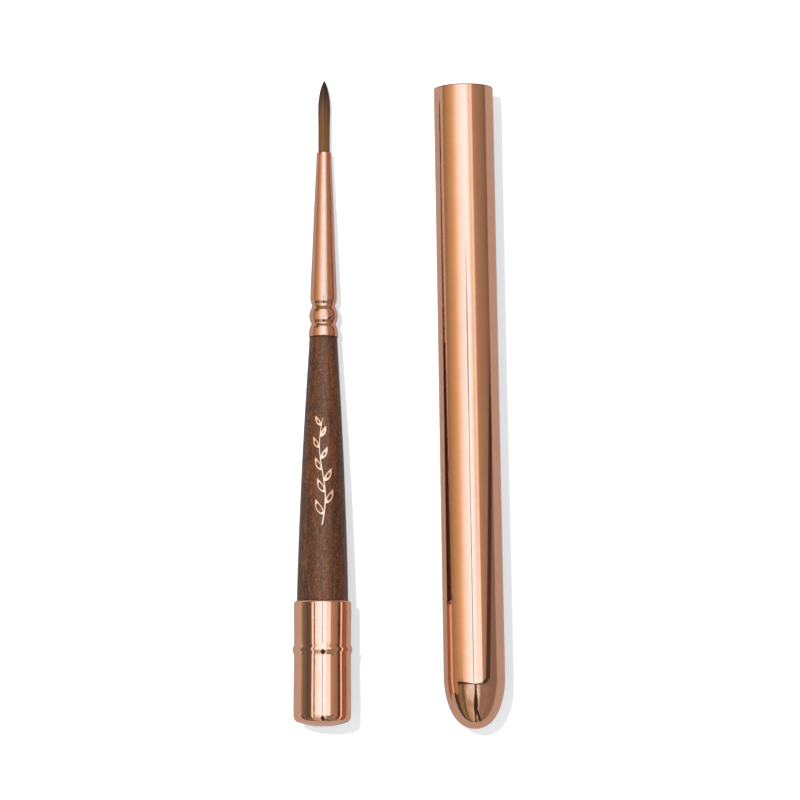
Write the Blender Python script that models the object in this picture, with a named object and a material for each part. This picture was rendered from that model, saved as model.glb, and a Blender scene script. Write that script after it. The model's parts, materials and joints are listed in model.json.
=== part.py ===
"""Travel detail brush: a sable round on a turned walnut handle, with its bullet-nosed cap tube.

The brush and its cap lie side by side on a level surface at Z = 0.  Local profiles are written
in millimetres as (radius, station) pairs; everything is turned about a local +Z axis and then
placed in the world frame in metres.
"""
import math

import bpy
from mathutils import Matrix, Vector

MM = 0.001

# --- driving dimensions, mm -------------------------------------------------------------------
BRUSH_X = -13.83           # brush axis, across the surface
BRUSH_REAR_Y = -59.345     # rear end of the collar, at the axis
CAP_MOUTH_X = 11.90        # centre of the cap's mouth
CAP_MOUTH_Y = 57.375
CAP_PLAN_DEG = 0.967       # the cap lies a little askew: its nose is further out than its mouth

COLLAR_R = 5.22            # plug radius that the cap slides over
COLLAR_WALL = 0.28
COLLAR_LENGTH = 22.65
LIP_S = 22.10              # last full-radius station of the collar, where the brush rests
BEAD_S = 13.60             # stop bead
BEAD_R = 5.43

HANDLE_REAR_R = 4.68
HANDLE_FRONT_S = 70.95     # wood shoulder behind the ferrule
REAR_TENON_R = 4.66
REAR_TENON_S = 2.2
FRONT_TENON_R = 1.95
FRONT_TENON_S = 83.0

FERRULE_WALL = 0.24
FERRULE_MOUTH_S = 105.50
FERRULE_MOUTH_R = 1.37

BELLY_R = 1.135            # fullest part of the hair
BELLY_S = 113.9
REST_R = 1.128             # point of the hair that touches the surface
REST_S = 114.5
TIP_S = 119.31
FLEX_S = 105.40            # centre about which the hair flexes
ROOT_DOME_R = 1.12
TUFT_CUP_R = 1.50

CAP_LENGTH = 117.24
CAP_MOUTH_R = 5.45
CAP_FULL_R = 5.575
CAP_FULL_U = 108.0         # end of the straight tube, measured from the mouth
CAP_BORE_R = 5.245
CAP_WALL = 0.24

TURNED_SEGMENTS = 48
CAP_SEGMENTS = 64
FINE_SEGMENTS = 32
MERGE_DISTANCE = 1e-6      # metres

# --- resting attitude -------------------------------------------------------------------------
# The handle's weight lies ahead of the collar, so the brush rests on the collar's front lip
# and on the belly of the hair.
TILT = math.atan((COLLAR_R - REST_R) / (REST_S - LIP_S))
REAR_AXIS_Z = (COLLAR_R + LIP_S * math.tan(TILT)) * math.cos(TILT)
# The cap tube widens slightly to its nose; its underside is level.
CAP_RISE = math.atan((CAP_FULL_R - CAP_MOUTH_R) / CAP_FULL_U)


def brush_frame(station):
    """World frame whose +Z runs along the brush to the hair tip, at a station from the rear."""
    c, s = math.cos(TILT), math.sin(TILT)
    origin = Vector((BRUSH_X, BRUSH_REAR_Y + station * c, REAR_AXIS_Z - station * s)) * MM
    frame = Matrix(((1, 0, 0, 0), (0, -s, c, 0), (0, -c, -s, 0), (0, 0, 0, 1)))
    return Matrix.Translation(origin) @ frame


def cap_frame():
    """World frame whose +Z runs down the cap from its mouth to its nose."""
    plan = math.radians(CAP_PLAN_DEG)
    along = Vector((math.sin(plan) * math.cos(CAP_RISE),
                    -math.cos(plan) * math.cos(CAP_RISE), math.sin(CAP_RISE)))
    side = Vector((math.cos(plan), math.sin(plan), 0.0))
    up = along.cross(side)
    frame = Matrix((side, up, along)).transposed().to_4x4()
    return Matrix.Translation(Vector((CAP_MOUTH_X, CAP_MOUTH_Y, CAP_MOUTH_R)) * MM) @ frame


# --- materials --------------------------------------------------------------------------------
def principled(name, colour, roughness, metallic=0.0):
    material = bpy.data.materials.new(name)
    material.use_nodes = True
    shader = material.node_tree.nodes["Principled BSDF"]
    shader.inputs["Base Color"].default_value = (*colour, 1.0)
    shader.inputs["Roughness"].default_value = roughness
    shader.inputs["Metallic"].default_value = metallic
    return material


# --- building ---------------------------------------------------------------------------------
def turned(name, outline, frame, material, segments=TURNED_SEGMENTS, offset=0.0):
    """Turn an outline of (radius, station) points about local Z with a Screw modifier.

    The outline runs up the outer side.  One that starts on the axis also ends on it; any other
    outline is a closed loop.  The object's origin is at the station `offset`.
    """
    downward = [(radius * MM, 0.0, (station - offset) * MM) for radius, station in outline[::-1]]
    edges = [(i, i + 1) for i in range(len(outline) - 1)]
    if outline[0][0] > 0.0:
        edges.append((len(outline) - 1, 0))
    mesh = bpy.data.meshes.new(name)
    mesh.from_pydata(downward, edges, [])
    mesh.materials.append(material)
    item = bpy.data.objects.new(name, mesh)
    bpy.context.scene.collection.objects.link(item)
    item.matrix_world = frame
    turn = item.modifiers.new("turn", "SCREW")
    turn.axis = "Z"
    turn.steps = turn.render_steps = segments
    turn.use_merge_vertices = True
    turn.merge_threshold = MERGE_DISTANCE
    turn.use_smooth_shade = True
    return item


def arc(centre_r, centre_s, radius, start_deg, end_deg, steps):
    """Points on an arc in the (radius, station) plane; 0 degrees points outward."""
    points = []
    for i in range(steps + 1):
        angle = math.radians(start_deg + (end_deg - start_deg) * i / steps)
        points.append((centre_r + radius * math.cos(angle), centre_s + radius * math.sin(angle)))
    return points


def flowing(points, step):
    """A smooth curve through (radius, station) points, cut into runs about `step` mm long."""
    slopes = []
    for i in range(len(points)):
        r0, s0 = points[max(i - 1, 0)]
        r1, s1 = points[min(i + 1, len(points) - 1)]
        slopes.append((r1 - r0) / (s1 - s0))
    run = [points[0]]
    for i in range(len(points) - 1):
        (r0, s0), (r1, s1) = points[i], points[i + 1]
        gap = s1 - s0
        count = max(1, round(gap / step))
        for k in range(1, count + 1):
            t = k / count
            rise = (1 - t) * (1 - t) * t * slopes[i] - t * t * (1 - t) * slopes[i + 1]
            radius = r0 + (r1 - r0) * t * t * (3 - 2 * t) + gap * rise
            run.append((radius, s0 + gap * t))
    return run


def inset(profile, wall):
    """The same run of points moved square to itself by the wall thickness, towards the axis."""
    moved = []
    for i, (r, s) in enumerate(profile):
        r0, s0 = profile[max(i - 1, 0)]
        r1, s1 = profile[min(i + 1, len(profile) - 1)]
        length = math.hypot(r1 - r0, s1 - s0)
        moved.append((r - wall * (s1 - s0) / length, s + wall * (r1 - r0) / length))
    return moved


# --- collar -----------------------------------------------------------------------------------
def collar_crown():
    """Crowned rear end with a small flat at its centre and a rounded corner."""
    crown_r, flat_r, corner_r = 13.4, 1.2, 0.88
    base = crown_r - math.sqrt(crown_r ** 2 - flat_r ** 2)
    crown = [(r, crown_r - math.sqrt(crown_r ** 2 - r ** 2) - base)
             for r in (flat_r, 2.0, 2.8, 3.6, 4.3)]
    corner = arc(COLLAR_R - corner_r, 1.60, corner_r, -66.0, 0.0, 5)
    return [(0.0, 0.0)] + crown + corner


def collar_wall():
    """Straight sides either side of the rolled stop bead."""
    neck = COLLAR_R - 0.06
    bead = []
    for i in range(9):
        t = -1.0 + 2.0 * i / 8
        rise = (0.5 + 0.5 * math.cos(math.pi * t)) ** 0.8
        bead.append((neck + (BEAD_R - neck) * rise, BEAD_S + 1.15 * t))
    return [(COLLAR_R, 4.5), (neck + 0.02, 10.0)] + bead + [(neck + 0.02, 17.0), (COLLAR_R, 20.5)]


def build_collar(metal):
    lip_r = COLLAR_LENGTH - LIP_S
    body = collar_crown() + collar_wall()
    lip = arc(COLLAR_R - lip_r + 0.05, LIP_S, lip_r - 0.05, 0.0, 80.0, 5)
    mouth = [(HANDLE_REAR_R + 0.05, LIP_S + lip_r - 0.06), (HANDLE_REAR_R + 0.05, LIP_S - 0.10),
             (COLLAR_R - COLLAR_WALL, LIP_S - 0.35)]
    inside = inset(body[1:], COLLAR_WALL)[::2]
    floor = [(0.0, inside[0][1])]
    return turned("collar", body + lip + mouth + inside[::-1] + floor, brush_frame(0.0), metal)


def build_collar_adhesive(resin):
    """Glue film between the handle's rear tenon and the collar, clear of the hollow bead."""
    inner, outer = REAR_TENON_R + 0.03, COLLAR_R - COLLAR_WALL - 0.09
    outline = [(inner, 3.2), (outer, 3.4), (outer, BEAD_S - 1.6), (inner, BEAD_S - 1.5)]
    return turned("collar_adhesive", outline, brush_frame(0.0), resin)


# --- handle -----------------------------------------------------------------------------------
def build_handle(wood):
    """Turned walnut handle with a plain tenon at each end."""
    taper = [(HANDLE_REAR_R, 22.4), (4.56, 28.2), (4.19, 39.1), (3.575, 52.9),
             (2.555, HANDLE_FRONT_S - 0.10)]
    grip = [(HANDLE_REAR_R - 0.03, 22.2)] + flowing(taper, 2.8) + [(2.48, HANDLE_FRONT_S)]
    rear = [(0.0, REAR_TENON_S), (REAR_TENON_R - 0.5, REAR_TENON_S),
            (REAR_TENON_R, REAR_TENON_S + 0.5), (REAR_TENON_R, 22.0)]
    crimp_r = FRONT_TENON_R - 0.15
    front = [(FRONT_TENON_R + 0.15, HANDLE_FRONT_S), (FRONT_TENON_R + 0.15, 72.3),
             (crimp_r, 73.0), (crimp_r, 73.6), (FRONT_TENON_R + 0.15, 74.3),
             (FRONT_TENON_R + 0.15, 75.4), (crimp_r - 0.1, 76.2), (crimp_r - 0.1, 76.8),
             (FRONT_TENON_R, 77.6), (FRONT_TENON_R - 0.1, FRONT_TENON_S - 0.4),
             (FRONT_TENON_R - 0.45, FRONT_TENON_S), (0.0, FRONT_TENON_S)]
    return turned("handle", rear + grip + front, brush_frame(0.0), wood)


# --- ferrule ----------------------------------------------------------------------------------
def build_ferrule(metal):
    """Seamless tapered ferrule with an end ring, two crimped grooves and a bead between them."""
    beads = [(2.71, 71.10), (2.665, 71.90), (2.51, 72.67), (2.235, 73.28), (2.46, 73.84),
             (2.625, 74.70), (2.50, 75.55), (2.115, 76.52), (2.36, 77.35), (2.445, 78.20)]
    cone = [(2.40, 80.1), (2.145, 86.1), (1.80, 95.1), (1.45, 103.0),
            (FERRULE_MOUTH_R + 0.02, FERRULE_MOUTH_S - 0.7)]
    mouth = [(FERRULE_MOUTH_R, FERRULE_MOUTH_S - 0.08), (FERRULE_MOUTH_R - 0.06, FERRULE_MOUTH_S)]
    outside = [(2.66, 71.02)] + flowing(beads, 0.3) + flowing(cone, 3.0) + mouth
    inside = inset(flowing(beads[1:], 0.8) + flowing(cone, 6.0), FERRULE_WALL)
    inside = [(2.37, 71.02), (2.37, 71.9)] + inside[1:-1]
    inside += [(1.16, FERRULE_MOUTH_S - 0.5), (1.17, FERRULE_MOUTH_S)]
    return turned("ferrule", outside + inside[::-1], brush_frame(0.0), metal)


def build_ferrule_adhesive(resin):
    """Glue on the front of the tenon, between the wood and the ferrule ahead of the crimps."""
    outline = [(FRONT_TENON_R, 78.6), (2.11, 78.8), (2.03, 82.0), (FRONT_TENON_R - 0.02, 82.2)]
    return turned("ferrule_adhesive", outline, brush_frame(0.0), resin, FINE_SEGMENTS)


# --- hair -------------------------------------------------------------------------------------
def build_root_cement(resin):
    """Set resin that fills the ferrule behind the hair and grips its root."""
    outline = [(0.0, 83.8), (1.93, 83.8), (1.80, 87.5), (1.72, 89.4), (1.44, 89.4), (1.44, 86.4),
               (0.0, 86.4)]
    return turned("root_cement", outline, brush_frame(0.0), resin, FINE_SEGMENTS)


def build_tuft_root(hair):
    """Bound root of the hair inside the ferrule, waisted under its thread, ending in a dome."""
    outline = [(0.0, 86.5), (1.36, 86.5), (1.38, 89.9), (1.33, 90.3), (1.33, 92.5), (1.38, 92.9),
               (1.42, 95.5), (1.30, 99.5), (1.14, 104.0), (1.09, FLEX_S)]
    outline += [(r, s) for r, s in arc(0.0, FLEX_S, ROOT_DOME_R, 14.0, 78.0, 5)]
    outline += [(0.0, FLEX_S + ROOT_DOME_R)]
    return turned("tuft_root", outline, brush_frame(0.0), hair, FINE_SEGMENTS)


def build_root_binding(thread):
    """Thread wound five times around the waist of the hair root."""
    turns, start, pitch, coil_r, thread_r = 5, 90.52, 0.36, 1.50, 0.14
    per_turn = 24
    curve = bpy.data.curves.new("root_binding", "CURVE")
    curve.dimensions = "3D"
    curve.bevel_depth = thread_r * MM
    curve.bevel_resolution = 2
    curve.use_fill_caps = True
    curve.materials.append(thread)
    winding = curve.splines.new("POLY")
    winding.points.add(turns * per_turn)
    for i, point in enumerate(winding.points):
        angle = 2.0 * math.pi * i / per_turn
        station = start + pitch * i / per_turn
        place = Vector((coil_r * math.cos(angle), coil_r * math.sin(angle), station)) * MM
        point.co = (*place, 1.0)
    item = bpy.data.objects.new("root_binding", curve)
    bpy.context.scene.collection.objects.link(item)
    item.matrix_world = brush_frame(0.0)
    return item


def build_tuft(hair):
    """The free hair: slim at the ferrule, fullest near the front, drawn to a fine point.

    Its base is hollowed about the flex centre, so that it clears the root as it swings.
    """
    length = [(1.065, 107.5), (1.08, 110.5), (BELLY_R, BELLY_S), (REST_R, REST_S)]
    point = [(REST_R, REST_S), (1.005, 115.9), (0.735, 117.4), (0.33, 118.7), (0.0, TIP_S)]
    side = flowing(length, 1.2) + flowing(point, 0.7)[1:]
    cup = [(0.0, FLEX_S + TUFT_CUP_R)]
    cup += arc(0.0, FLEX_S, TUFT_CUP_R, 76.0, 45.0, 4)
    return turned("tuft", cup + side, brush_frame(FLEX_S), hair, FINE_SEGMENTS, FLEX_S)


# --- cap --------------------------------------------------------------------------------------
def nose_curve(root_r, root_u, tip_u, steps):
    """Bullet nose from the straight tube to the tip: a cubic curve, square on at the tip."""
    p0, p1 = (root_r, root_u), (root_r, root_u + 0.3 * (tip_u - root_u))
    p2, p3 = (root_r * 0.82, tip_u), (0.0, tip_u)
    points = []
    for i in range(1, steps + 1):
        t = i / steps
        a, b, c, d = (1 - t) ** 3, 3 * t * (1 - t) ** 2, 3 * t * t * (1 - t), t ** 3
        points.append((a * p0[0] + b * p1[0] + c * p2[0] + d * p3[0],
                       a * p0[1] + b * p1[1] + c * p2[1] + d * p3[1]))
    return points


def build_cap(metal):
    """Thin drawn tube, open at the mouth and spun to a bullet nose."""
    outside = [(CAP_MOUTH_R - 0.04, 0.0), (CAP_MOUTH_R, 0.05), (CAP_MOUTH_R + 0.004, 12.0),
               (CAP_MOUTH_R + 0.03, 45.0), (CAP_MOUTH_R + 0.075, 78.0), (CAP_FULL_R, CAP_FULL_U)]
    outside += nose_curve(CAP_FULL_R, CAP_FULL_U, CAP_LENGTH, 14)
    bore = [(CAP_BORE_R + 0.03, 0.0), (CAP_BORE_R, 0.06), (CAP_BORE_R, 12.0),
            (CAP_MOUTH_R + 0.03 - CAP_WALL, 45.0), (CAP_FULL_R - CAP_WALL, CAP_FULL_U - 0.2)]
    bore += nose_curve(CAP_FULL_R - CAP_WALL, CAP_FULL_U - 0.2, CAP_LENGTH - CAP_WALL, 9)
    outline = (outside[:-1] + [(0.0, CAP_LENGTH)], bore[:-1] + [(0.0, CAP_LENGTH - CAP_WALL)])
    return turned("cap_tube", outline[1][::-1] + outline[0], cap_frame(), metal, CAP_SEGMENTS)


def main():
    for item in list(bpy.data.objects):
        bpy.data.objects.remove(item, do_unlink=True)
    build_collar(principled("collar_metal", (0.80, 0.48, 0.36), 0.06, 1.0))
    build_ferrule(principled("ferrule_metal", (0.80, 0.48, 0.36), 0.08, 1.0))
    build_cap(principled("cap_metal", (0.80, 0.48, 0.36), 0.05, 1.0))
    build_handle(principled("walnut", (0.16, 0.08, 0.045), 0.45))
    build_tuft(principled("sable_hair", (0.16, 0.10, 0.055), 0.55))
    build_tuft_root(principled("sable_root", (0.18, 0.11, 0.06), 0.6))
    build_root_binding(principled("binding_thread", (0.75, 0.70, 0.58), 0.8))
    build_root_cement(principled("root_resin", (0.62, 0.50, 0.25), 0.3))
    build_ferrule_adhesive(principled("ferrule_glue", (0.70, 0.62, 0.42), 0.35))
    build_collar_adhesive(principled("collar_glue", (0.70, 0.62, 0.42), 0.35))


main()
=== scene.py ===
"""Looks for the travel detail brush: finely turned metal and wood, hair by the strand, a studio."""

import json
import math
import random

import bpy
import numpy as np
from mathutils import Matrix, Vector


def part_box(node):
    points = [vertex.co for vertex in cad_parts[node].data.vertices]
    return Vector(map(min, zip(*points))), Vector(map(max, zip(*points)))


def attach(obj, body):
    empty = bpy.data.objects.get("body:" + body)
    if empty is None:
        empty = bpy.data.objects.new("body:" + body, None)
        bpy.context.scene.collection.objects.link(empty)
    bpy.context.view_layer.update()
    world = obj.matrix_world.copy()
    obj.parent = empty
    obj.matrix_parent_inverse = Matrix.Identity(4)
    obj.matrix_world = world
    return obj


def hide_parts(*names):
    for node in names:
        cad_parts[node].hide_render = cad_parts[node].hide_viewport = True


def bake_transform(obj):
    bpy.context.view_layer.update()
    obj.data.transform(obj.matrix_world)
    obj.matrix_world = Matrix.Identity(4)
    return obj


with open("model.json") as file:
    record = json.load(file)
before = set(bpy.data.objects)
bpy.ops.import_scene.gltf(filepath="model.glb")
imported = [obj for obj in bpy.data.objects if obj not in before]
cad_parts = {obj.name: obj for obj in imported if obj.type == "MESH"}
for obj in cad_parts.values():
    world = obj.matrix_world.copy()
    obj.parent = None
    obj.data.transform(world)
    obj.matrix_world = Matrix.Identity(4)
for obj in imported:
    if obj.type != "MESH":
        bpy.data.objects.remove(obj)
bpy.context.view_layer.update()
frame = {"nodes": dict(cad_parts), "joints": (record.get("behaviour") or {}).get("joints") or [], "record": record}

MM = 0.001


# --- places, read from the frame --------------------------------------------------------------
def mount(name):
    """Position and outward direction of one of the record's mounts."""
    found = [m for m in frame["record"]["mounts"] if m["name"] == name][0]
    return Vector(found["pos_m"]), Vector(found["axis"]).normalized()


def axis_frame(origin, along, hint):
    """Frame with +Z along an axis and +X level, square to the upright hint."""
    side = hint.cross(along).normalized()
    up = along.cross(side)
    return Matrix.Translation(origin) @ Matrix((side, up, along)).transposed().to_4x4()


# BRUSH runs from the collar's end to the hair; stations are millimetres along it.
REAR, REAR_NORMAL = mount("collar_end")
BRUSH = axis_frame(REAR, -REAR_NORMAL, Vector((0, 0, -1)))
FLEX = [Vector(j["pos_m"]) for j in frame["joints"] if j["name"] == "tuft_flex"][0]
FLEX_S = (FLEX - REAR).length / MM
TIP_S = (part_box("tuft")[1].y - REAR.y) / -REAR_NORMAL.y / MM

# CAP runs from the mouth to the nose; its mount sits on the rim, RIM_R from the axis.
RIM, MOUTH_NORMAL = mount("cap_mouth_rim")
RIM_R = 5.345
CAP = axis_frame(RIM, -MOUTH_NORMAL, Vector((0, 0, 1)))
CAP = Matrix.Translation(-(CAP.to_3x3() @ Vector((0, RIM_R * MM, 0)))) @ CAP


# --- node helpers -----------------------------------------------------------------------------
class Nodes:
    """Short way to write a node tree: n("Type", input=value or socket) -> node."""

    def __init__(self, tree):
        self.tree = tree

    def __call__(self, kind, _settings=None, **inputs):
        node = self.tree.nodes.new("ShaderNode" + kind)
        for key, value in (_settings or {}).items():
            setattr(node, key, value)
        for key, value in inputs.items():
            index = int(key[1:]) if key[0] == "i" and key[1:].isdigit() else key.replace("_", " ")
            socket = node.inputs[index]
            if isinstance(value, bpy.types.NodeSocket):
                self.tree.links.new(value, socket)
            elif isinstance(value, tuple) and len(value) == 3 and socket.type == "RGBA":
                socket.default_value = (*value, 1.0)
            else:
                socket.default_value = value
        return node

    def math(self, operation, a, b=0.0, c=0.0):
        return self("Math", {"operation": operation}, i0=a, i1=b, i2=c).outputs[0]

    def plus(self, a, b):
        return self.math("ADD", a, b)

    def minus(self, a, b):
        return self.math("SUBTRACT", a, b)

    def times(self, a, b):
        return self.math("MULTIPLY", a, b)

    def size(self, a):
        return self.math("ABSOLUTE", a)

    def position(self):
        """The object's own coordinates, in metres."""
        return self("TexCoord").outputs["Object"]

    def split(self, vector):
        return self("SeparateXYZ", Vector=vector).outputs

    def ramp(self, fac, stops):
        """Colour by fac, straight from stop to stop."""
        node = self("ValToRGB", Fac=fac)
        elements = node.color_ramp.elements
        for i, (position, colour) in enumerate(stops):
            element = elements[i] if i < 2 else elements.new(position)
            element.position = position
            element.color = (*colour, 1.0)
        return node.outputs["Color"]

    def grey(self, fac, low, high, low_value=0.0, high_value=1.0):
        """A smooth step from low_value at low to high_value at high."""
        return self("MapRange", {"clamp": True, "interpolation_type": "SMOOTHSTEP"}, Value=fac,
                    i1=low, i2=high, i3=low_value, i4=high_value).outputs[0]

    def noise(self, vector, scale, detail=3.0, roughness=0.55, distortion=0.0):
        return self("TexNoise", Vector=vector, Scale=scale, Detail=detail, Roughness=roughness,
                    Distortion=distortion).outputs[0]

    def mix(self, fac, a, b, blend="MIX"):
        node = self("Mix", {"data_type": "RGBA", "blend_type": blend})
        for index, value in ((0, fac), (6, a), (7, b)):
            if isinstance(value, bpy.types.NodeSocket):
                self.tree.links.new(value, node.inputs[index])
            else:
                fixed = (*value, 1.0) if isinstance(value, tuple) else value
                node.inputs[index].default_value = fixed
        return node.outputs[2]


def new_material(name):
    material = bpy.data.materials.new(name)
    material.use_nodes = True
    material.node_tree.nodes.clear()
    return material, Nodes(material.node_tree)


def close_material(n, shader):
    n("OutputMaterial", Surface=shader.outputs[0])


def axial(n, stretch, place):
    """Coordinates in millimetres in a turned piece's own frame, stretched along its axis."""
    inverse = place.inverted()
    moved = n("Mapping", {"vector_type": "POINT"}, Vector=n.position(),
              Location=inverse.to_translation() / MM, Rotation=inverse.to_euler(),
              Scale=(1 / MM, 1 / MM, 1 / MM)).outputs[0]
    return n("Mapping", {"vector_type": "POINT"}, Vector=moved, Scale=(1.0, 1.0, stretch)).outputs[0]


# --- materials --------------------------------------------------------------------------------
METAL = (0.64, 0.34, 0.235)
DRAW_LINES = 0.006                          # strength of the marks left by drawing the tube
BEAD_POLISH, BEAD_FADE = 0.35, 2.5          # the beads' finer polish, and how fast it ends
BORE_DULL, BORE_END = 0.38, (104.0, 106.0)
# painted shade: the dark colour laid on the metal at the mouth's very edge, full up to the first station of
# RIM_EDGE and gone by the second
RIM_SHADE, RIM_EDGE = (0.10, 0.06, 0.045), (0.10, 0.22)


def plated_metal(name, place, roughness, base=METAL, bore=None, beads=None):
    """Polished copper-coloured plating: draw lines along the tube, wipe marks and fine dust.

    A tube is duller within the radius `bore`, where painted shade also darkens the metal along its mouth's very
    edge, and more finely polished up to the station `beads`.
    """
    material, n = new_material(name)
    along = axial(n, 0.04, place)
    plain = axial(n, 1.0, place)
    lines = n.noise(along, 5.0, 4.0, 0.6)
    smear = n.noise(plain, 0.5, 3.0, 0.6)
    fine = n.noise(along, 30.0, 2.0, 0.5)
    rough = n.plus(n.grey(smear, 0.35, 0.75, roughness * 0.7, roughness * 1.5),
                   n.grey(fine, 0.5, 0.8, 0.0, roughness * 0.5))
    tint = n.mix(n.grey(smear, 0.3, 0.7), base, (base[0] * 0.96, base[1] * 0.94, base[2] * 0.92))
    if beads is not None:
        station = n.split(plain)["Z"]
        rough = n.times(rough, n.grey(station, beads, beads + BEAD_FADE, BEAD_POLISH, 1.0))
    if bore is not None:
        x, y, station = n.split(plain)
        radial = n("CombineXYZ", X=x, Y=y, Z=0.0).outputs[0]
        radial = n("VectorMath", {"operation": "LENGTH"}, i0=radial).outputs["Value"]
        inside = n.times(n.grey(radial, bore, bore + 0.02, 1.0, 0.0),
                         n.grey(station, *BORE_END, 1.0, 0.0))
        rough = n.plus(rough, n.times(inside, BORE_DULL))
        # painted shade along the mouth's very edge
        tint = n.mix(n.grey(station, *RIM_EDGE, 0.9, 0.0), tint, RIM_SHADE)
    bump = n("Bump", Strength=DRAW_LINES, Distance=0.0004, Height=lines)
    bump = n("Bump", Strength=DRAW_LINES * 0.5, Distance=0.0001, Height=fine, Normal=bump.outputs[0])
    shader = n("BsdfPrincipled", Base_Color=tint, Metallic=1.0, Roughness=rough,
               Specular_Tint=(0.94, 0.80, 0.74), Normal=bump.outputs[0])
    close_material(n, shader)
    return material


def walnut(name):
    """Dark walnut turned along the grain: red streaks, dark figure, short pores, a satin finish
    that catches light face on and fades towards the edges."""
    material, n = new_material(name)
    grain = axial(n, 0.05, BRUSH)
    pores = axial(n, 0.16, BRUSH)
    blotch = n.noise(axial(n, 0.26, BRUSH), 0.80, 4.0, 0.65, 1.2)
    broad = n.noise(grain, 0.75, 4.0, 0.6, 0.8)
    streak = n.noise(grain, 2.4, 4.0, 0.65, 0.4)
    fibre = n.noise(grain, 11.0, 3.0, 0.6)
    speck = n.noise(axial(n, 0.55, BRUSH), 4.6, 3.0, 0.75)
    wood = n.ramp(broad, [(0.32, (0.014, 0.006, 0.005)), (0.45, (0.040, 0.014, 0.007)),
                          (0.56, (0.094, 0.028, 0.010)), (0.70, (0.026, 0.011, 0.007))])
    wood = n.mix(n.grey(streak, 0.48, 0.70, 0.0, 0.65), wood, (0.120, 0.042, 0.016))
    wood = n.mix(n.grey(blotch, 0.46, 0.60, 0.0, 0.90), wood, (0.010, 0.007, 0.007))
    wood = n.mix(n.grey(speck, 0.38, 0.54, 0.85, 0.0), wood, (0.008, 0.005, 0.004))
    wood = n.mix(n.grey(speck, 0.52, 0.66, 0.0, 0.60), wood, (0.175, 0.072, 0.036))
    pore = n.grey(n.noise(pores, 8.0, 2.0, 0.7), 0.57, 0.66)
    wood = n.mix(n.times(pore, 0.80), wood, (0.004, 0.002, 0.002))
    depth = n.minus(n.times(fibre, 0.4), pore)
    bump = n("Bump", Strength=0.3, Distance=0.00006, Height=depth)
    rough = n.grey(fibre, 0.3, 0.8, 0.30, 0.46)
    gloss = n.grey(n("LayerWeight", Blend=0.5).outputs["Facing"], 0.12, 0.68, 1.0, 0.20)
    shader = n("BsdfPrincipled", Base_Color=wood, Roughness=rough, Specular_IOR_Level=gloss,
               Specular_Tint=(1.0, 0.47, 0.30), Normal=bump.outputs[0])
    close_material(n, shader)
    return material


def sable(name):
    """Hair: olive brown at the ferrule, darkening to near black at the point, each strand its own."""
    material, n = new_material(name)
    along = n("Attribute", {"attribute_name": "along"}).outputs["Fac"]
    strand = n("Attribute", {"attribute_name": "strand"}).outputs["Fac"]
    colour = n.ramp(along, [(0.0, (0.145, 0.070, 0.028)), (0.42, (0.120, 0.056, 0.025)),
                            (0.68, (0.080, 0.042, 0.025)), (1.0, (0.026, 0.016, 0.012))])
    light = n.mix(0.45, colour, (0.28, 0.15, 0.07))
    colour = n.mix(n.grey(strand, 0.45, 1.0, 0.0, 0.75), colour, light)
    colour = n.mix(n.grey(strand, 0.45, 0.0, 0.0, 0.5), colour, (0.028, 0.014, 0.007))
    shader = n("BsdfPrincipled", Base_Color=colour, Roughness=0.5, Specular_IOR_Level=0.2,
               Specular_Tint=(1.0, 0.55, 0.35))
    close_material(n, shader)
    return material


def foil(name):
    """Hot-stamped light copper foil, a little worn."""
    material, n = new_material(name)
    spot = n.noise(axial(n, 1.0, BRUSH), 4.0, 4.0, 0.7)
    colour = n.mix(n.grey(spot, 0.35, 0.7), (0.80, 0.50, 0.36), (0.68, 0.39, 0.26))
    rough = n.grey(spot, 0.3, 0.7, 0.28, 0.5)
    shader = n("BsdfPrincipled", Base_Color=colour, Metallic=0.75, Roughness=rough)
    close_material(n, shader)
    return material


def glue(name, colour):
    """Set resin, a little cloudy."""
    material, n = new_material(name)
    cloud = n.noise(axial(n, 1.0, BRUSH), 1.5, 3.0, 0.6)
    shade = n.mix(n.grey(cloud, 0.3, 0.7), colour, tuple(c * 0.7 for c in colour))
    shader = n("BsdfPrincipled", Base_Color=shade, Roughness=0.3)
    close_material(n, shader)
    return material


def thread(name):
    """Waxed linen thread."""
    material, n = new_material(name)
    twist = n.noise(axial(n, 4.0, BRUSH), 9.0, 3.0, 0.6)
    shade = n.mix(n.grey(twist, 0.3, 0.7), (0.62, 0.55, 0.40), (0.45, 0.38, 0.26))
    bump = n("Bump", Strength=0.4, Distance=0.00003, Height=twist)
    shader = n("BsdfPrincipled", Base_Color=shade, Roughness=0.8, Normal=bump.outputs[0])
    close_material(n, shader)
    return material


# --- meshes -----------------------------------------------------------------------------------
def new_object(name, verts, faces, material):
    """A mesh object in the scene, from vertices in metres."""
    mesh = bpy.data.meshes.new(name)
    mesh.from_pydata(verts, [], faces)
    mesh.materials.append(material)
    item = bpy.data.objects.new(name, mesh)
    bpy.context.scene.collection.objects.link(item)
    return item


def new_piece(name, verts, faces, material, place):
    """A mesh object from vertices in millimetres in a piece's own frame."""
    item = new_object(name, [(x * MM, y * MM, z * MM) for x, y, z in verts], faces, material)
    item.data.transform(place)
    return item


# --- turned pieces ----------------------------------------------------------------------------
def arc(centre_r, centre_s, radius, start_deg, end_deg, steps):
    """Points on an arc in the (radius, station) plane; 0 degrees points outward."""
    points = []
    for i in range(steps + 1):
        angle = math.radians(start_deg + (end_deg - start_deg) * i / steps)
        points.append((centre_r + radius * math.cos(angle), centre_s + radius * math.sin(angle)))
    return points


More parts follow.
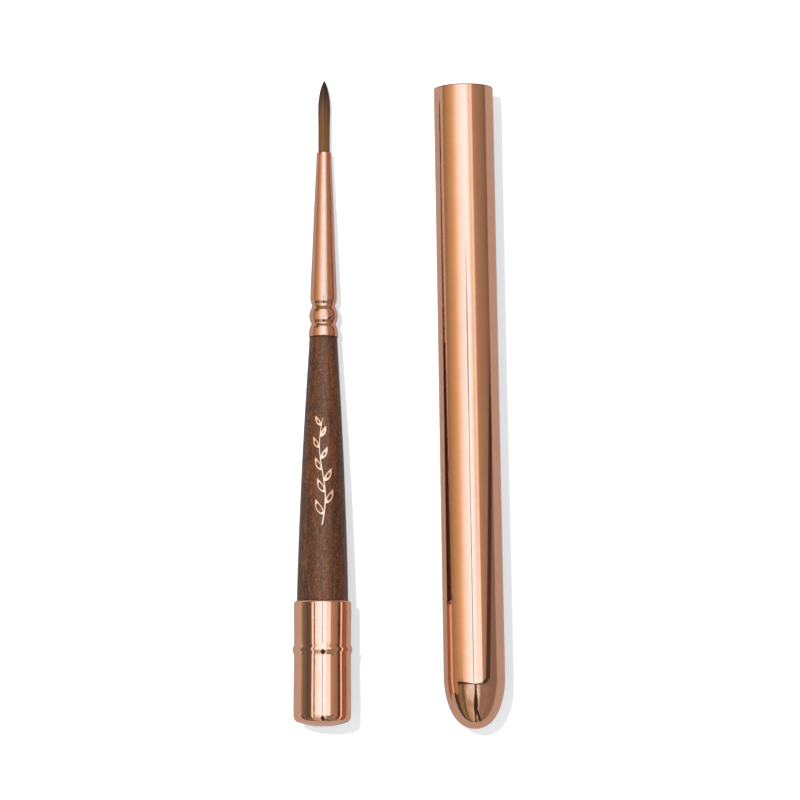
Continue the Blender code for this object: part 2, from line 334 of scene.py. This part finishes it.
def flowing(points, step):
    """A smooth curve through (radius, station) points, cut into runs about `step` mm long."""
    slopes = []
    for i in range(len(points)):
        r0, s0 = points[max(i - 1, 0)]
        r1, s1 = points[min(i + 1, len(points) - 1)]
        slopes.append((r1 - r0) / (s1 - s0))
    run = [points[0]]
    for i in range(len(points) - 1):
        (r0, s0), (r1, s1) = points[i], points[i + 1]
        gap = s1 - s0
        count = max(1, round(gap / step))
        for k in range(1, count + 1):
            t = k / count
            rise = (1 - t) * (1 - t) * t * slopes[i] - t * t * (1 - t) * slopes[i + 1]
            radius = r0 + (r1 - r0) * t * t * (3 - 2 * t) + gap * rise
            run.append((radius, s0 + gap * t))
    return run


def radius_at(run, station):
    """Radius of a run of (radius, station) points at a station."""
    return float(np.interp(station, [s for _, s in run], [r for r, _ in run]))


SHARP_ANGLE = math.radians(35.0)


def turned(name, outline, place, material, segments=192):
    """Turn a (radius, station) outline about the frame's +Z.  The outline runs up the outer side."""
    verts, rings = [], []
    for radius, station in outline:
        if radius < 1e-6:
            rings.append([len(verts)])
            verts.append((0.0, 0.0, station))
            continue
        rings.append(list(range(len(verts), len(verts) + segments)))
        for k in range(segments):
            a = 2.0 * math.pi * k / segments
            verts.append((radius * math.cos(a), radius * math.sin(a), station))
    solid = len(rings[0]) == 1 and len(rings[-1]) == 1
    faces = []
    for low, high in list(zip(rings, rings[1:])) + ([] if solid else [(rings[-1], rings[0])]):
        for k in range(segments):
            after = (k + 1) % segments
            if len(low) == 1:
                faces.append((low[0], high[after], high[k]))
            elif len(high) == 1:
                faces.append((low[k], low[after], high[0]))
            else:
                faces.append((low[k], low[after], high[after], high[k]))
    item = new_piece(name, verts, faces, material, place)
    mesh = item.data
    mesh.validate()
    mesh.polygons.foreach_set("use_smooth", [True] * len(mesh.polygons))
    mesh.set_sharp_from_angle(angle=SHARP_ANGLE)
    return item


# Radii end in _R and stations in _S, all in millimetres.
COLLAR_R, COLLAR_LENGTH, LIP_S, COLLAR_WALL = 5.22, 22.65, 22.10, 0.28
BEAD_S, BEAD_R = 13.80, 5.43
HANDLE_REAR_R, HANDLE_FRONT_S = 4.68, 70.95
FERRULE_MOUTH_S, FERRULE_MOUTH_R, FERRULE_BEADS_END = 105.50, 1.37, 78.5
CAP_LENGTH, CAP_WALL, CAP_MOUTH_R, CAP_BORE_R = 117.24, 0.24, 5.45, 5.245
CAP_FULL_R, CAP_FULL_S = 5.575, 108.0


def collar_outline():
    """Drawn cup: crowned end, plug, stop bead, plug, rolled front lip."""
    crown_r, flat_r, shoulder_r = 13.4, 1.2, 4.3
    base = crown_r - math.sqrt(crown_r ** 2 - flat_r ** 2)
    crown = [(0.0, 0.0), (flat_r, 0.0)]
    for i in range(1, 13):
        r = flat_r + (shoulder_r - flat_r) * i / 12
        crown.append((r, crown_r - math.sqrt(crown_r ** 2 - r ** 2) - base))
    # an oval corner, longer along the collar than it is deep
    corner_r, corner_s, longer = 0.88, 2.05, 1.53
    corner = [(r, corner_s + (s - corner_s) * longer)
              for r, s in arc(COLLAR_R - corner_r, corner_s, corner_r, -74.0, 0.0, 14)]
    neck, half = COLLAR_R - 0.06, 1.30
    bead = []
    for i in range(33):
        t = -1.0 + 2.0 * i / 32
        rise = (0.5 + 0.5 * math.cos(math.pi * t)) ** 1.5
        bead.append((neck + (BEAD_R - neck) * rise, BEAD_S + half * t))
    rear = flowing([(COLLAR_R, 2.15), (COLLAR_R, 4.5), (neck + 0.02, 10.0),
                    (neck, BEAD_S - 1.35)], 0.7)
    front = flowing([(neck, BEAD_S + 1.35), (neck + 0.02, 17.0), (COLLAR_R, 20.5),
                     (COLLAR_R, LIP_S - 0.05)], 0.7)
    lip_r = COLLAR_LENGTH - LIP_S
    lip = arc(COLLAR_R - lip_r + 0.05, LIP_S, lip_r - 0.05, 0.0, 80.0, 10)
    hole, inner = HANDLE_REAR_R + 0.05, COLLAR_R - COLLAR_WALL
    mouth = [(hole, LIP_S + lip_r - 0.06), (hole, LIP_S - 0.10), (inner, LIP_S - 0.35)]
    inside = [(inner, 2.2), (shoulder_r, 1.2), (0.0, 0.5)]
    return crown + corner + rear + bead + front + lip + mouth + inside


def ferrule_outline():
    """Seamless tube: end ring, groove, bead, groove, and a long taper to the hair."""
    beads = [(2.71, 71.10), (2.665, 71.90), (2.51, 72.78), (2.235, 73.44), (2.46, 74.02),
             (2.625, 74.92), (2.50, 75.82), (2.115, 76.82), (2.36, 77.62), (2.445, 78.42)]
    cone = [(2.445, 78.42), (2.40, 80.3), (2.145, 86.1), (1.80, 95.1), (1.45, 103.0),
            (FERRULE_MOUTH_R + 0.02, FERRULE_MOUTH_S - 0.7),
            (FERRULE_MOUTH_R, FERRULE_MOUTH_S - 0.08)]
    outside = [(2.66, 71.02)] + flowing(beads, 0.06) + flowing(cone, 0.7)[1:]
    rim = [(FERRULE_MOUTH_R - 0.02, FERRULE_MOUTH_S - 0.02),
           (FERRULE_MOUTH_R - 0.06, FERRULE_MOUTH_S)]
    inside = [(1.17, FERRULE_MOUTH_S), (1.16, FERRULE_MOUTH_S - 0.5), (1.55, 95.0), (2.1, 80.0),
              (2.17, 78.3), (1.88, 76.8), (2.2, 75.8), (2.3, 74.8), (2.0, 73.45), (2.3, 72.4),
              (2.37, 71.02)]
    return outside + rim + inside


TAPER = flowing([(HANDLE_REAR_R, 22.4), (4.56, 28.2), (4.19, 39.1), (3.575, 52.9),
                 (2.555, HANDLE_FRONT_S - 0.10)], 0.9)


def handle_outline():
    """Rear tenon, the visible taper, and the front tenon that follows the ferrule's grooves."""
    rear = [(0.0, 2.2), (4.16, 2.2), (4.66, 2.7), (4.66, 22.0), (HANDLE_REAR_R - 0.03, 22.2)]
    front = [(2.50, HANDLE_FRONT_S - 0.01), (2.48, HANDLE_FRONT_S), (2.1, HANDLE_FRONT_S),
             (2.1, 72.3), (1.80, 73.0), (1.80, 73.6), (2.1, 74.3), (2.1, 75.4), (1.70, 76.2),
             (1.70, 76.8), (1.95, 77.6), (1.85, 82.6), (1.5, 83.0), (0.0, 83.0)]
    return rear + TAPER + front


def nose_curve(root_r, root_s, tip_s, steps):
    """Bullet nose from the straight tube to the tip: a cubic curve, square on at the tip."""
    p = np.array([(root_r, root_s), (root_r, root_s + 0.3 * (tip_s - root_s)),
                  (root_r * 0.82, tip_s), (0.0, tip_s)])
    points = []
    for i in range(1, steps + 1):
        t = i / steps
        w = np.array([(1 - t) ** 3, 3 * t * (1 - t) ** 2, 3 * t * t * (1 - t), t ** 3])
        points.append(tuple(w @ p))
    return points


def cap_outline():
    """Thin tube from its rounded mouth to its nose, listed from the bore's end to the outside's."""
    lip = 0.12
    outside = arc(CAP_MOUTH_R - lip, lip, lip, -80.0, -10.0, 6)
    outside += flowing([(CAP_MOUTH_R, 0.13), (CAP_MOUTH_R + 0.004, 12.0), (CAP_MOUTH_R + 0.03, 45.0),
                        (CAP_MOUTH_R + 0.075, 78.0), (CAP_FULL_R, CAP_FULL_S)], 5.0)
    outside += nose_curve(CAP_FULL_R, CAP_FULL_S, CAP_LENGTH, 48)[:-1] + [(0.0, CAP_LENGTH)]
    root = (CAP_FULL_R - CAP_WALL, CAP_FULL_S - 0.2)
    bore = [(CAP_BORE_R + 0.03, 0.0), (CAP_BORE_R, 0.06), (CAP_BORE_R, 12.0),
            (CAP_MOUTH_R + 0.03 - CAP_WALL, 45.0), root]
    bore += nose_curve(*root, CAP_LENGTH - CAP_WALL, 20)[:-1] + [(0.0, CAP_LENGTH - CAP_WALL)]
    return bore[::-1] + outside


# --- hair -------------------------------------------------------------------------------------
BELLY, REST = (1.135, 113.9), (1.128, 114.5)
TUFT = flowing([(1.12, FLEX_S - 12.0), (1.065, 107.5), (1.08, 110.5), BELLY, REST], 0.5)
TUFT += flowing([REST, (1.005, 115.9), (0.735, 117.4), (0.33, 118.7), (0.0, TIP_S)], 0.2)[1:]
HAIR_START, BEND_LENGTH = FLEX_S - 2.5, 9.0
STRANDS, STRAND_STEPS, STRAND_SIDES = 900, 18, 4
# the core's dark tone is painted shade for the depth inside the tuft
CORE_STEPS, CORE_SIDES, CORE_SHARE, CORE_SHADE_TONE = 30, 24, 0.80, 0.15


def hair_fraction(station):
    """0 at the ferrule's mouth and behind it, 1 at the tip."""
    return min(1.0, max(0.0, (station - FLEX_S) / (TIP_S - FLEX_S)))


def hair(material):
    """Strands from inside the ferrule to the point, over a core in a dark tone that is painted shade for the depth
    inside the tuft, as one mesh.
    """
    rng = random.Random(11)
    verts, faces, along, strand = [], [], [], []

    def lay(path, radii, tone, sides):
        """Add a rod along a path of (centre, turn)."""
        first = len(verts)
        for ((x, y, s), turn), radius in zip(path, radii):
            for k in range(sides):
                a = turn + 2 * math.pi * k / sides
                verts.append((x + radius * math.cos(a), y + radius * math.sin(a), s))
                along.append(hair_fraction(s))
                strand.append(tone)
        for i in range(len(path) - 1):
            a, b = first + i * sides, first + (i + 1) * sides
            for k in range(sides):
                after = (k + 1) % sides
                faces.append((a + k, a + after, b + after, b + k))
        last = first + (len(path) - 1) * sides
        faces.append(tuple(range(last, last + sides)))
        faces.append(tuple(reversed(range(first, first + sides))))

    for _ in range(STRANDS):
        shell = 1.0 - 0.35 * rng.random() ** 1.6
        angle = 2 * math.pi * rng.random()
        clump = 0.5 + 0.5 * math.sin(angle * 7 + 1.3) * math.sin(angle * 3 + 0.4)
        tone = min(1.0, max(0.0, 0.55 * clump + 0.45 * rng.random()))
        reach = TIP_S - (0.15 + 3.4 * rng.random() ** 1.8) * (1.0 if rng.random() < 0.8 else 1.6)
        thick = 0.030 + 0.018 * rng.random()
        drift, bend = rng.uniform(-0.10, 0.10), rng.uniform(-0.05, 0.05)
        path, radii = [], []
        for j in range(STRAND_STEPS + 1):
            f = j / STRAND_STEPS
            s = HAIR_START + (reach - HAIR_START) * (f ** 0.85)
            limit = max(radius_at(TUFT, s) * shell - thick, 0.0)
            a = angle + drift * f + bend * math.sin(math.pi * f)
            path.append(((limit * math.cos(a), limit * math.sin(a), s), a))
            radii.append(thick * (1.0 if f < 0.55 else max(0.15, 1.0 - ((f - 0.55) / 0.45) ** 1.5)))
        lay(path, radii, tone, STRAND_SIDES)

    stations = np.linspace(HAIR_START, TIP_S - 0.6, CORE_STEPS)
    lay([((0.0, 0.0, s), 0.0) for s in stations],
        [max(radius_at(TUFT, s) * CORE_SHARE, 0.01) for s in stations], CORE_SHADE_TONE, CORE_SIDES)

    item = new_piece("tuft_hair", verts, faces, material, BRUSH)
    for key, values in (("along", along), ("strand", strand)):
        item.data.attributes.new(key, "FLOAT", "POINT").data.foreach_set("value", values)
    item.data.polygons.foreach_set("use_smooth", [True] * len(item.data.polygons))
    return item


# --- foil sprig -------------------------------------------------------------------------------
def sprig(material):
    """A plain leaf sprig stamped along the top of the handle, a thin layer over the wood."""
    verts, faces = [], []
    lift, thick = 0.012, 0.010

    def strip(points, widths):
        """A flat ribbon along points in (across, station), closed into a thin sheet."""
        first, count = len(verts), len(points)
        for i, (u, s) in enumerate(points):
            before, after = points[max(i - 1, 0)], points[min(i + 1, count - 1)]
            du, ds = after[0] - before[0], after[1] - before[1]
            length = math.hypot(du, ds) or 1.0
            for side in (-1, 1):
                x = u - side * widths[i] * ds / length
                z = s + side * widths[i] * du / length
                for up in (lift, lift - thick):
                    r = radius_at(TAPER, z) + up
                    a = x / r
                    verts.append((r * math.sin(a), -r * math.cos(a), z))
        for i in range(count - 1):
            a, b = first + i * 4, first + (i + 1) * 4
            faces.extend([(a, a + 2, b + 2, b), (a + 1, b + 1, b + 3, a + 3),
                          (a, b, b + 1, a + 1), (a + 2, a + 3, b + 3, b + 2)])
        last = first + (count - 1) * 4
        faces.extend([(first, first + 1, first + 3, first + 2),
                      (last, last + 2, last + 3, last + 1)])

    def stem(t):
        return 0.55 * math.sin(t * 2.0 * math.pi), 36.2 + 19.5 * t

    steps, leaf_steps, leaves = 40, 12, 9
    strip([stem(i / steps) for i in range(steps + 1)],
          [0.11 * (1.0 - 0.55 * i / steps) for i in range(steps + 1)])
    turn = math.radians(44)
    for i in range(leaves):
        t = (i + 0.9) / 9.6
        across, station = stem(t)
        side = 1 if i % 2 else -1
        size = 3.3 - 1.2 * t
        leaf, widths = [], []
        for k in range(leaf_steps + 1):
            f = k / leaf_steps
            bend = turn * (1 - 0.35 * f)
            leaf.append((across + side * size * f * math.sin(bend), station + size * f * math.cos(bend)))
            widths.append(max(0.015, size * 0.17 * math.sin(math.pi * f ** 0.8) ** 0.9))
        strip(leaf, widths)
    return new_piece("foil_sprig", verts, faces, material, BRUSH)


# --- the object -------------------------------------------------------------------------------
def dress():
    """Shape and finish every piece, hang the turned pieces and the sprig on the bodies they ride on, and hide the
    nodes that the turned pieces and the hair stand in for.
    """
    brush_metal = plated_metal("rose_plating", BRUSH, 0.045, base=(0.68, 0.365, 0.26))
    cap_metal = plated_metal("rose_plating_cap", CAP, 0.045, bore=CAP_BORE_R + 0.06)
    collar = turned("collar_shell", collar_outline(), BRUSH, brush_metal, 256)
    ferrule_metal = plated_metal("rose_plating_ferrule", BRUSH, 0.135, base=(0.59, 0.315, 0.23),
                                 beads=FERRULE_BEADS_END)
    ferrule = turned("ferrule_shell", ferrule_outline(), BRUSH, ferrule_metal, 192)
    handle = turned("handle_wood", handle_outline(), BRUSH, walnut("walnut_satin"), 192)
    cap = turned("cap_shell", cap_outline(), CAP, cap_metal, 256)
    for item, body, node, slot in ((collar, "brush", "collar", "collar_metal"),
                                   (ferrule, "brush", "ferrule", "ferrule_metal"),
                                   (handle, "brush", "handle", "walnut"),
                                   (cap, "cap", "cap_tube", "cap_metal")):
        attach(item, body)
        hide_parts(node)
    tuft = hair(sable("sable_strands"))
    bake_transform(tuft)
    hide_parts("tuft")
    mark = sprig(foil("copper_foil"))
    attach(mark, "brush")
    inner = {"tuft_root": sable("sable_root_look"), "root_binding": thread("waxed_thread"),
             "root_cement": glue("amber_resin", (0.55, 0.36, 0.13)),
             "ferrule_adhesive": glue("glue_film_front", (0.62, 0.50, 0.28)),
             "collar_adhesive": glue("glue_film_rear", (0.62, 0.50, 0.28))}
    for name, material in inner.items():
        node = frame["nodes"][name]
        node.data.materials.clear()
        node.data.materials.append(material)


# --- studio -----------------------------------------------------------------------------------
# Room light, the lamp on the object, the lamp on the table, and the table's own glow.
FILL, KEY, TABLE_KEY, GLOW = 1.46, 3.5, 11.5, 0.53


def stage_mesh(name, corners, faces, material, mirrored_only=False):
    """Part of the studio, not of the object; it can be kept to what the metal mirrors."""
    item = new_object(name, corners, faces, material)
    if mirrored_only:
        item.visible_camera = False
        item.visible_diffuse = False
        item.visible_shadow = False
        item.visible_transmission = False
        material.cycles.emission_sampling = "NONE"
    return item


def floor():
    """White light table: its own glow keeps the shadows pale; the metal mirrors it a little dimmer."""
    material, n = new_material("light_table")
    material.cycles.emission_sampling = "NONE"
    fibre = n.noise(n.position(), 400.0, 3.0, 0.6)
    shade = n.mix(n.grey(fibre, 0.3, 0.7), (0.90, 0.90, 0.905), (0.92, 0.92, 0.92))
    path = n("LightPath").outputs
    mirrored = n.mix(1.0, shade, (0.250, 0.248, 0.242), "MULTIPLY")
    seen = n.mix(1.0, shade, (0.29, 0.29, 0.29), "MULTIPLY")
    bounced = n.mix(1.0, shade, (0.62, 0.62, 0.62), "MULTIPLY")
    colour = n.mix(path["Is Glossy Ray"], bounced, mirrored)
    colour = n.mix(path["Is Camera Ray"], colour, seen)
    paper = n("BsdfDiffuse", Color=colour)
    glow = n("Emission", Color=(0.99, 0.99, 1.0), Strength=n.times(path["Is Camera Ray"], GLOW))
    close_material(n, n("AddShader", i0=paper.outputs[0], i1=glow.outputs[0]))
    size = 3.0
    corners = [(-size, -size, 0), (size, -size, 0), (size, size, 0), (-size, size, 0)]
    return stage_mesh("floor", corners, [(0, 1, 2, 3)], material)


SOFTBOX_STRENGTH = 3.2
TENT_RADIUS = 0.28
TENT_NEAR, TENT_FAR = -0.100, 0.32
TENT_EYE_X, TENT_EYE_Z = 0.01287, 0.010         # where angles across the tent are taken from
ROD, HEM, SEAM = (0.022, 0.019, 0.015), (0.018, 0.012, 0.009), (0.10, 0.055, 0.04)
# Brightness across the tent, left to right, in degrees from overhead.
TENT = [(-100, (0.46, 0.36, 0.24)), (-85, (0.52, 0.42, 0.26)), (-70, (0.74, 0.60, 0.36)),
        (-58, (0.92, 0.74, 0.44)), (-48, (1.15, 0.95, 0.60)), (-40, (1.38, 1.30, 1.00)),
        (-30, (1.55, 1.85, 1.85)), (-20, (1.60, 2.20, 2.60)), (-8, (1.65, 2.40, 3.00)),
        (5, (1.70, 2.60, 3.15)), (12, (1.65, 2.10, 2.40)), (18, (1.35, 1.45, 1.40)),
        (25, (1.55, 1.70, 1.65)), (29, (1.45, 1.50, 1.40)), (32, (0.72, 0.60, 0.46)),
        (45, (0.60, 0.49, 0.37)), (62, (0.50, 0.43, 0.34)), (74, (0.43, 0.37, 0.29)),
        (84, (0.36, 0.31, 0.24)), (92, (0.33, 0.27, 0.21)), (100, (0.28, 0.23, 0.17))]


def tent():
    """Half-round diffusing tent over the table: bright overhead, falling off to the left.

    `across` is in degrees from overhead, to the right; `ahead` is in millimetres towards the hair.
    """
    material, n = new_material("tent_cloth")
    x, y, z = n.split(n.position())
    across = n.math("ARCTAN2", n.minus(x, TENT_EYE_X), n.minus(z, TENT_EYE_Z))
    across = n.times(across, 180.0 / math.pi)
    ahead = n.times(y, 1.0 / MM)
    fac = n.plus(n.times(across, 1.0 / 360.0), 0.5)
    cloth = n.ramp(fac, [(0.5 + degrees / 360.0, tuple(c / SOFTBOX_STRENGTH for c in colour))
                         for degrees, colour in TENT])
    # the left flap hangs darker near the front
    flap = n.times(n.grey(across, -46.0, -42.0, 1.0, 0.0), n.grey(ahead, -80.0, -45.0, 0.42, 0.0))
    cloth = n.mix(flap, cloth, (0.10, 0.085, 0.06))
    # the lamp behind the cloth reaches further right towards the front
    glow = n.times(n.grey(across, 11.0, 14.0), n.grey(across, 27.5, 30.5, 1.0, 0.0))
    glow = n.times(glow, n.grey(ahead, -70.0, 15.0, 0.85, 0.0))
    cloth = n.mix(glow, cloth, (0.53, 0.74, 0.93))
    # a thin seam down the middle, which widens and then fades towards the hair
    seam = n.times(n.size(n.plus(across, 3.3)), n.grey(ahead, 8.0, 28.0, 1.0, 0.62))
    seam = n.times(n.grey(seam, 0.5, 1.9, 1.0, 0.0), n.grey(ahead, 42.0, 72.0, 0.85, 0.0))
    cloth = n.mix(seam, cloth, SEAM)
    # the right edge runs slantwise to the front, with a rod along it; beyond it the dim room
    line = n.plus(n.times(ahead, 0.475), n.grey(ahead, -102.0, -82.0, 42.0, 78.0))
    edge = n.minus(across, line)
    beyond = n.grey(edge, 3.0, 6.0)
    cloth = n.mix(beyond, cloth, (0.118, 0.104, 0.090))
    rod = n.grey(n.size(n.plus(edge, 1.5)), 6.5, 11.0, 0.92, 0.0)
    rod = n.times(rod, n.grey(ahead, 15.0, 60.0, 1.0, 0.0))
    cloth = n.mix(rod, cloth, ROD)
    # a hem along the front, deeper on the left
    lift = n.grey(across, -60.0, 5.0, 15.0, 2.5)
    hem = n.grey(n.minus(ahead, lift), -98.0, -96.0, 0.95, 0.0)
    hem = n.times(hem, n.minus(1.0, beyond))
    cloth = n.mix(hem, cloth, HEM)
    # the far left corner is in shadow
    corner = n.times(n.grey(across, -58.0, -40.0, 0.70, 0.0), n.grey(ahead, 135.0, 185.0))
    cloth = n.mix(corner, cloth, (0.030, 0.022, 0.016))
    close_material(n, n("Emission", Color=cloth, Strength=SOFTBOX_STRENGTH))
    corners, count = [], 90
    for i in range(count + 1):
        angle = math.pi * (i / count - 0.5)
        for y in (TENT_NEAR, TENT_FAR):
            corners.append((TENT_RADIUS * math.sin(angle), y, TENT_RADIUS * math.cos(angle)))
    faces = [(i, i + 1, i + 3, i + 2) for i in range(0, 2 * count, 2)]
    stage_mesh("tent", corners, faces, material, mirrored_only=True)


CARD_MIDDLE, CARD_LEAN = -0.048, 0.044
# Lengths of the painted reflection strips: those the collar mirrors, then the collar's lit side and the cloth
# above it as the cap mirrors them.
CARD_ENDS, COLLAR_REFLECTION_ENDS, CLOTH_REFLECTION_ENDS = (-0.0605, -0.0355), (-0.0585, -0.0376), (-0.0600, -0.032)


def card(name, ends, low, high, colours, speckle=0.0, facing_left=False):
    """A glowing strip beside the collar that paints a reflection on the metal, mirrored only and one-sided,
    leaning with the brush.

    It reaches from y to y between the ends and from (x, z) to (x, z) up its face; heights are at
    its middle, and the colours run from low to high.
    """
    material, n = new_material(name)
    place = n.position()
    apart = n.split(place)
    height = n.minus(apart["Z"], n.times(n.minus(CARD_MIDDLE, apart["Y"]), CARD_LEAN))
    fac = n("MapRange", Value=height, i1=low[1], i2=high[1]).outputs[0]
    grain = n.grey(n.noise(place, 900.0, 2.0, 0.5), 0.42, 0.58, 0.0, speckle)
    colour = n.mix(grain, n.ramp(fac, colours), (0.5, 0.4, 0.3))
    lit = n("Emission", Color=colour, Strength=1.0)
    clear = n("BsdfTransparent")
    close_material(n, n("MixShader", Fac=n("NewGeometry").outputs["Backfacing"],
                        i1=lit.outputs[0], i2=clear.outputs[0]))
    corners = [(x, y, z + CARD_LEAN * (CARD_MIDDLE - y)) for x, z in (low, high) for y in ends]
    face = (0, 2, 3, 1) if facing_left else (0, 1, 3, 2)
    stage_mesh(name, corners, [face], material, mirrored_only=True)


def cards():
    """Glowing strips that are painted reflections: a dark band, a bright line and a dark line on the collar's
    left, the cap's reflection on its right, and on the cap's flank the collar's lit side with plain cloth above
    it."""
    # painted reflection on the collar's left flank: a dark band, a bright line and a dark line
    card("painted_reflection_dark_band", CARD_ENDS, (-0.0196, 0.0099), (-0.0196, 0.0149),
         [(0.0, (0.30, 0.28, 0.23)), (0.25, (0.25, 0.24, 0.20)), (0.45, (0.16, 0.15, 0.13)),
          (0.75, (0.22, 0.21, 0.18)), (1.0, (0.26, 0.22, 0.17))])
    card("painted_reflection_bright_line", CARD_ENDS, (-0.0196, 0.0149), (-0.0188, 0.0157),
         [(0.0, (1.45, 1.50, 1.45)), (1.0, (1.60, 1.85, 1.85))])
    card("painted_reflection_dark_line", CARD_ENDS, (-0.0184, 0.0155), (-0.01795, 0.01595),
         [(0.0, (0.16, 0.10, 0.07)), (1.0, (0.04, 0.025, 0.02))], 0.7)
    # painted reflection of the cap, as the collar's right flank mirrors it
    card("painted_reflection_of_cap", CARD_ENDS, (-0.0080, 0.0079), (-0.0080, 0.0136),
         [(0.0, (0.34, 0.17, 0.11)), (0.12, (0.50, 0.27, 0.19)), (0.22, (0.42, 0.15, 0.06)),
          (0.28, (0.60, 0.35, 0.20)), (0.31, (1.90, 1.60, 1.30)), (0.37, (1.60, 1.30, 1.05)),
          (0.41, (0.18, 0.10, 0.05)), (0.50, (0.09, 0.05, 0.03)), (0.58, (0.22, 0.18, 0.15)),
          (0.67, (0.44, 0.40, 0.34)), (1.0, (0.60, 0.50, 0.36))], 0.12, facing_left=True)
    # painted reflection of the collar's lit side, as the cap's left flank mirrors it
    card("painted_reflection_of_collar", COLLAR_REFLECTION_ENDS, (-0.0083, 0.0), (-0.0083, 0.0115),
         [(0.0, (0.40, 0.19, 0.11)), (0.30, (0.55, 0.27, 0.16)), (0.50, (0.66, 0.33, 0.16)),
          (0.60, (1.10, 0.80, 0.55)), (0.68, (1.45, 1.20, 0.92)), (0.80, (1.05, 0.80, 0.58)),
          (0.90, (0.60, 0.42, 0.28)), (1.0, (0.57, 0.42, 0.27))])
    # painted reflection of plain cloth above the collar, as the cap's flank mirrors it
    card("painted_reflection_of_cloth", CLOTH_REFLECTION_ENDS, (-0.0083, 0.0115), (-0.0083, 0.0175),
         [(0.0, (0.57, 0.42, 0.27)), (0.5, (0.63, 0.51, 0.33)), (1.0, (0.68, 0.56, 0.37))])


STAND, SHADOW = (0.010, 0.008, 0.007), (0.030, 0.022, 0.018)
# What is seen in front of the table, from left to right.
FRONT = [(0.00, (0.022, 0.017, 0.014)), (0.075, (0.035, 0.028, 0.022)), (0.10, (0.12, 0.105, 0.075)),
         (0.18, (0.14, 0.125, 0.085)), (0.205, (0.055, 0.068, 0.028)), (0.235, (0.07, 0.08, 0.035)),
         (0.265, (0.22, 0.20, 0.15)), (0.40, (0.30, 0.28, 0.22)), (0.50, (0.40, 0.40, 0.36)),
         (0.59, (0.42, 0.42, 0.38)), (0.63, (0.16, 0.145, 0.125)), (0.80, (0.145, 0.13, 0.115)),
         (0.88, (0.125, 0.11, 0.095)), (1.00, (0.13, 0.115, 0.10))]


def room(n, direction):
    """The dim room beyond the tent's ends: stand and window in front, plain wall behind.

    It is drawn over the direction halfway between a direction in the room and straight up: `side`
    and `depth` are the level parts of that halfway direction, and `turn` runs from -1 to 1.
    """
    half = n("VectorMath", {"operation": "ADD"}, i0=direction, i1=(0.0, 0.0, 1.0)).outputs[0]
    half = n("VectorMath", {"operation": "NORMALIZE"}, i0=half).outputs[0]
    side, depth, _ = n.split(half)
    reach = n.math("MAXIMUM", n.minus(0.5, n.times(depth, depth)), 0.01)
    turn = n.math("DIVIDE", side, n.math("SQRT", reach))
    front = n.ramp(n.plus(n.times(turn, 0.5), 0.5), FRONT)
    window = n.times(n.grey(n.size(n.plus(side, 0.06)), 0.14, 0.26, 0.9, 0.0),
                     n.grey(depth, -0.30, -0.16))
    front = n.mix(window, front, (0.50, 0.62, 0.66))
    cloud = n.noise(direction, 5.0, 3.0, 0.6, 0.8)
    front = n.mix(n.grey(cloud, 0.40, 0.62, 0.30, 0.0), front, (0.10, 0.085, 0.065))
    # the stand: an upright leg with a thicker joint, and a slanting one
    girth = n.grey(n.size(n.plus(depth, 0.33)), 0.0, 0.22, 0.045, 0.0)
    leg = n.grey(n.minus(n.size(n.minus(side, 0.03)), girth), 0.022, 0.045, 0.97, 0.0)
    slant = n.plus(n.times(depth, -0.62), -0.18)
    other = n.grey(n.size(n.minus(side, slant)), 0.030, 0.055, 0.97, 0.0)
    other = n.times(other, n.grey(depth, -0.40, -0.34, 1.0, 0.0))
    front = n.mix(n.math("MAXIMUM", leg, other), front, STAND)
    # the wall behind, darker on the left
    back = n.mix(n.grey(n.noise(direction, 3.5, 4.0, 0.6, 0.8), 0.35, 0.7), (0.14, 0.11, 0.07),
                 (0.21, 0.17, 0.12))
    back = n.mix(n.grey(turn, -0.80, -0.45, 0.60, 0.0), back, SHADOW)
    return n.mix(n.grey(depth, -0.02, 0.02), front, back)


def studio():
    """Room light: neutral fill for the paper and the wood; the metal mirrors the tent and the room."""
    world = bpy.data.worlds.new("room")
    bpy.context.scene.world = world
    world.use_nodes = True
    world.node_tree.nodes.clear()
    n = Nodes(world.node_tree)
    path = n("LightPath").outputs
    around = room(n, n("TexCoord").outputs["Generated"])
    mirror = n("Background", Color=around, Strength=SOFTBOX_STRENGTH)
    fill = n("Background", Color=(0.985, 0.985, 1.0), Strength=FILL)
    plain = n("Background", Color=(1.0, 1.0, 1.0), Strength=1.0)
    light = n("MixShader", Fac=path["Is Glossy Ray"], i1=fill.outputs[0], i2=mirror.outputs[0])
    mixed = n("MixShader", Fac=path["Is Camera Ray"], i1=light.outputs[0], i2=plain.outputs[0])
    n("OutputWorld", Surface=mixed.outputs[0])


LAMP_PLACE, LAMP_SIZE = Vector((-0.22, 0.142, 0.80)), 0.055


def key_light(name, energy, only=None):
    """Small lamp high on the far left; it can be kept to one thing."""
    lamp = bpy.data.lights.new(name, "AREA")
    lamp.shape = "DISK"
    lamp.size = LAMP_SIZE
    lamp.energy = energy
    item = bpy.data.objects.new(name, lamp)
    item.location = LAMP_PLACE
    item.rotation_mode = "QUATERNION"
    item.rotation_quaternion = (-LAMP_PLACE).to_track_quat("-Z", "Y")
    item.visible_glossy = False
    bpy.context.scene.collection.objects.link(item)
    if only is not None:
        lit = bpy.data.collections.new(name + "_lights")
        lit.objects.link(only)
        item.light_linking.receiver_collection = lit


def camera():
    """Nearly overhead, a long lens, leaning slightly so that the near end is the rear."""
    data = bpy.data.cameras.new("camera")
    data.lens, data.sensor_width = 126.0, 36.0
    data.clip_start, data.clip_end = 0.01, 20.0
    distance, lean = 0.5169, math.radians(4.4)
    target = Vector((0.00025, 0.000285, 0.0))
    item = bpy.data.objects.new("camera", data)
    item.location = target + distance * Vector((0, -math.sin(lean), math.cos(lean)))
    item.rotation_euler = (lean, 0, 0)
    bpy.context.scene.collection.objects.link(item)
    bpy.context.scene.camera = item


dress()
table = floor()
tent()
cards()
studio()
key_light("key", KEY)
key_light("table_key", TABLE_KEY, table)
camera()
scene = bpy.context.scene
scene.view_settings.view_transform = "Standard"
scene.view_settings.look = "None"
scene.cycles.caustics_reflective = False
scene.cycles.caustics_refractive = False
